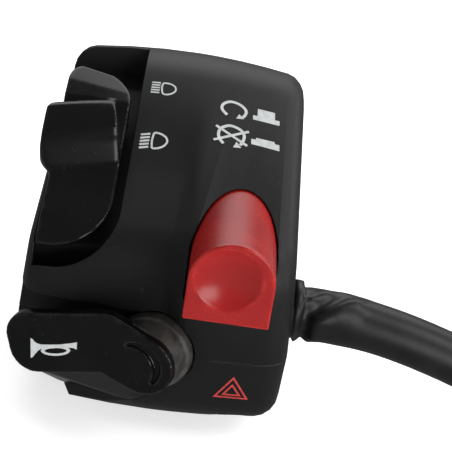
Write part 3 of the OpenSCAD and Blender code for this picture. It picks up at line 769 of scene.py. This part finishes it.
signs = {
    "highBeamSign": {
        "at": (-4.73, 3.51, 38.04), "normal": (-0.0301, -0.4617, 0.8865), "shape": lampSign,
        "rays": 5, "rayLeft": -2.21, "rayRight": -0.57, "rayTop": 1.22, "rayGap": 0.62,
        "raySlant": 0.12, "rayWidth": 0.3,
        "lamp": [(0.02, 1.30), (-0.19, 0.57), (-0.17, -0.18), (-0.02, -0.89), (0.2, -1.36), (0.89, -1.4),
                 (1.52, -1.19), (2.09, -0.77), (2.42, -0.26), (2.45, 0.24), (2.2, 0.79), (1.61, 1.19),
                 (0.86, 1.38)],
        "lampWidth": 0.32,
    },
    "lowBeamSign": {
        "at": (-5.05, -6.42, 31.33), "normal": (-0.0287, -0.6054, 0.7954), "shape": lampSign,
        "rays": 5, "rayLeft": -2.37, "rayRight": -0.64, "rayTop": 1.02, "rayGap": 0.7,
        "raySlant": 0.42, "rayWidth": 0.38,
        "lamp": [(0.17, 1.74), (-0.05, 1.01), (-0.14, 0.1), (-0.07, -0.78), (0.08, -1.49), (0.8, -1.49),
                 (1.55, -1.23), (2.19, -0.77), (2.6, -0.17), (2.68, 0.41), (2.39, 1.04), (1.77, 1.48),
                 (0.98, 1.75)],
        "lampWidth": 0.38,
    },
    "runSign": {
        "at": (9.43, 1.26, 36.61), "normal": (0.0726, -0.4541, 0.888), "shape": arrowSign, "width": 0.56,
        "turn": [(-1.4, -1.33), (-2.17, -0.62), (-2.56, 0.26), (-2.2, 1.3), (-1.02, 2.0), (0.41, 1.86),
                 (1.6, 1.17), (2.18, 0.24), (1.98, -0.75), (1.6, -1.3)],
        "head": [(0.9, -0.67), (0.4, -1.86), (1.89, -1.66)],
    },
    "stopSign": {
        "at": (9.5, -4.44, 33.69), "normal": (0.0728, -0.4541, 0.888), "shape": arrowSign, "width": 0.58,
        "turn": [(-1.5, -2.0), (-2.22, -1.13), (-2.6, 0.02), (-2.3, 1.46), (-0.9, 2.46), (0.57, 2.36),
                 (1.76, 1.68), (2.28, 0.61), (2.14, -0.73), (1.7, -1.7)],
        "head": [(0.96, -1.07), (0.42, -2.53), (1.94, -2.29)],
        "bars": [[(-3.28, 1.97), (3.02, -1.54)], [(-3.37, -1.56), (3.02, 1.93)]], "barWidth": 0.4988,
    },
    "buttonOutSign": {
        "at": (15.55, 1.48, 36.07), "normal": (0.1095, -0.4513, 0.8856), "shape": buttonSign,
        "outline": [(-2.6, -0.14), (-1.71, -0.13), (-1.78, 1.66), (1.6, 1.55), (1.7, -0.24), (2.62, -0.21),
                    (2.68, -1.29), (-2.51, -1.17)],
    },
    "buttonInSign": {
        "at": (15.87, -4.03, 33.22), "normal": (0.1085, -0.4516, 0.8856), "shape": buttonSign,
        "outline": [(-2.76, 0.24), (-1.86, 0.26), (-1.82, 0.72), (1.72, 0.64), (1.82, 0.17), (2.73, 0.16),
                    (2.82, -1.23), (-2.65, -0.99)],
    },
    "hazardSign": {
        "at": (16.17, -27.53, -7.29), "normal": (0.0945, -0.9717, -0.2163), "shape": triangleSign,
        "ink": "inkRed",
        "outer": [(-0.06, 3.9), (-3.34, -1.75), (3.36, -1.93)],
        "inner": [(-0.07, 1.97), (-1.8, -1.06), (1.91, -1.16)], "width": 0.36,
    },
    "hornSign": {
        "at": (-17.53, -29.95, -1.78), "normal": (-0.2756, -0.9613, 0.0), "shape": hornSign,
        "body": "horn_lever",
        "trumpet": [
            (-4.33, 0.66), (-3.92, 0.54), (-3.53, 0.15), (-2.99, -0.02), (-2.19, -0.01), (-0.44, 0.54),
            (1.48, 1.23), (3.18, 2.01), (4.12, 2.46), (4.68, 2.77), (4.76, 1.25), (4.16, 1.35),
            (3.61, 1.25), (0.78, 0.21), (-2.11, -0.94), (-2.66, -1.52), (-3.18, -2.44), (-3.59, -3.28),
            (-3.95, -3.51),
        ],
        "loop": ((0.74, -0.34), (2.82, 0.95), (0.1, -1.08)),
        "hole": ((0.76, -0.38), (2.12, 0.74), (0.05, -0.58)),
    },
}
inkThick = 0.13
inkStep = 0.005
inkMerge = 0.001


def printSign(name, s):
    normal = Vector(s["normal"]).normalized()
    right = (Vector((1, 0, 0)) - normal * normal.x).normalized()
    turn = Matrix((right, normal.cross(right), normal)).transposed().to_4x4()
    layers = []
    for height, loops in enumerate(s["shape"](s)):
        sheet = bpy.data.curves.new(name, "CURVE")
        sheet.dimensions = "2D"
        sheet.fill_mode = "BOTH"
        sheet.extrude = inkThick / 2
        for loop in loops:
            edge = sheet.splines.new("POLY")
            edge.points.add(len(loop) - 1)
            edge.use_cyclic_u = True
            for point, place in zip(edge.points, loop):
                point.co = (place.x, place.y, 0, 1)
        layer = bpy.data.objects.new(name, sheet)
        bpy.context.scene.collection.objects.link(layer)
        pickOnly(layer)
        bpy.ops.object.convert(target="MESH")
        layer = bpy.context.object
        lift = Matrix.Translation((Vector(s["at"]) + normal * inkStep * height) * mm)
        layer.data.transform(lift @ turn @ Matrix.Scale(mm, 4))
        layers.append(layer)
    pickOnly(layers[0])
    for layer in layers:
        layer.select_set(True)
    bpy.ops.object.join()
    piece = bpy.context.object
    piece.name = name
    bpy.ops.object.mode_set(mode="EDIT")
    bpy.ops.mesh.select_all(action="SELECT")
    bpy.ops.mesh.remove_doubles(threshold=inkMerge * mm)
    bpy.ops.mesh.normals_make_consistent(inside=False)
    bpy.ops.object.mode_set(mode="OBJECT")
    ink = s.get("ink", "inkWhite")
    piece.data.materials.clear()
    piece.data.materials.append(finishes[ink])
    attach(piece, s.get("body", "housing"))
    "red" if ink == "inkRed" else "connector_white"
    print("printed", name, len(piece.data.polygons))


for name, s in signs.items():
    printSign(name, s)


# six coloured leads between the cable's end and the connector
leadColours = {
    "leadBrown": rgb(0.10, 0.035, 0.012),
    "leadGreen": rgb(0.015, 0.12, 0.03),
    "leadBlue": rgb(0.012, 0.04, 0.22),
    "leadYellow": rgb(0.55, 0.36, 0.02),
    "leadRed": rgb(0.34, 0.012, 0.01),
    "leadWhite": rgb(0.6, 0.59, 0.55),
}
leadSkin = {
    "shade": 0.8,
    "mottle": 160, "grain": 2600, "specks": 1200, "speckMix": 0.15, "speckColour": rgb(0.3, 0.28, 0.25),
    "rough": 0.36, "roughMottle": 0.1, "roughGrain": 0.06, "wave": 1.0, "bump": 0.1, "depth": 0.00004,
}


def dressLeads(colours, skin):
    looks = []
    for name, colour in colours.items():
        shaded = rgb(*(c * skin["shade"] for c in colour[:3]))
        looks.append(plasticFinish(name, dict(skin, dark=shaded, light=colour)))
    piece = openCopy("connector_leads", "connectorLeads", looks)
    bpy.ops.object.mode_set(mode="OBJECT")
    # each lead is found by spreading over joined faces
    shape = bmesh.new()
    shape.from_mesh(piece.data)
    waiting, lead = set(shape.faces), 0
    while waiting:
        spread = [min(waiting, key=lambda face: face.index)]
        while spread:
            face = spread.pop()
            if face in waiting:
                waiting.discard(face)
                face.material_index = lead % len(colours)
                spread += [f for edge in face.edges for f in edge.link_faces]
        lead += 1
    shape.to_mesh(piece.data)
    shape.free()
    bpy.ops.object.shade_smooth_by_angle(angle=tubeBend)
    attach(piece, "housing")
    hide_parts("connector_leads")
    print("leads coloured:", lead)
    return piece


connectorLeads = dressLeads(leadColours, leadSkin)
cableLength = declareCable(cable)
print("cable declared, length", round(cableLength, 3))


def pressSpring():
    piece = openCopy("stop_spring", "stopSpring", [finishes["zincSteel"]])
    bpy.ops.object.mode_set(mode="OBJECT")
    bpy.ops.object.shade_smooth_by_angle(angle=tubeBend)
    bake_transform(piece)
    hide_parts("stop_spring")
    print("spring dressed")


pressSpring()

# nodes that keep their CAD mesh get a better finish
kept = {
    "zincSteel": ["housing_screws", "beam_pivot_pin", "horn_clip", "horn_return_spring"],
    "contactBrass": ["beam_wiper", "beam_terminals", "stop_contact_bridge", "stop_terminals",
                     "horn_moving_contact", "horn_contact_bracket", "hazard_moving_contact",
                     "connector_terminals"],
    "boardBrown": ["beam_contact_base", "stop_contact_base", "hazard_contact_base"],
    "softBlack": ["cable_grommet"],
    "tieBlack": ["cable_tie"],
}
for finish, names in kept.items():
    for name in names:
        for i in range(len(nodes[name].data.materials)):
            nodes[name].data.materials[i] = finishes[finish]
print("kept nodes dressed")


# pale floor with soft light
studio = {
    "floorZ": -20.55, "floorSize": 4000.0, "floorColour": rgb(0.9, 0.9, 0.9), "floorGlow": 0.7,
    "floorRough": 0.85, "floorGrain": 40.0, "roughGrain": 0.1,
    "lights": {
        "rearTop": {"at": (60, 520, 560), "size": (1000, 520), "power": 4.2},
        "rightRear": {"at": (760, 480, 330), "size": (420, 300), "power": 1.2},
        "topRight": {"at": (460, -160, 520), "size": (300, 300), "power": 1.8},
        "frontRight": {"at": (540, -780, 130), "size": (520, 400), "power": 4.4},
        "rightStrip": {"at": (900, -170, 90), "size": (120, 380), "power": 1.6},
        "leftFill": {"at": (-700, -300, 420), "size": (420, 420), "power": 0.12},
    },
    "world": rgb(0.8, 0.8, 0.8), "worldStrength": 0.3,
}


def makeStudio(s):
    bpy.ops.object.select_all(action="DESELECT")
    bpy.ops.mesh.primitive_plane_add(size=s["floorSize"] * mm, location=(0, 0, s["floorZ"] * mm))
    floor = bpy.context.object
    floor.name = "studioFloor"
    mat, shader, at = newFinish("floorPaper", {
        "Base Color": s["floorColour"], "Specular IOR Level": 0.0,
        "Emission Color": s["floorColour"], "Emission Strength": s["floorGlow"],
    })
    feed(shader, {"Roughness": s["floorRough"] + at.noise(s["floorGrain"]) * s["roughGrain"]})
    floor.data.materials.append(mat)
    floor.visible_glossy = False
    for name, light in s["lights"].items():
        bpy.ops.object.light_add(type="AREA", location=[c * mm for c in light["at"]])
        lamp = bpy.context.object
        lamp.name = name
        lamp.data.shape = "RECTANGLE"
        lamp.data.size, lamp.data.size_y = (side * mm for side in light["size"])
        lamp.data.energy = light["power"]
        lamp.rotation_euler = (-lamp.location).to_track_quat("-Z", "Y").to_euler()
    world = bpy.data.worlds.new("softRoom")
    world.use_nodes = True
    sky = world.node_tree.nodes["Background"]
    sky.inputs["Color"].default_value = s["world"]
    sky.inputs["Strength"].default_value = s["worldStrength"]
    bpy.context.scene.world = world
    bpy.context.scene.view_settings.view_transform = "Standard"


makeStudio(studio)
print("studio lit")
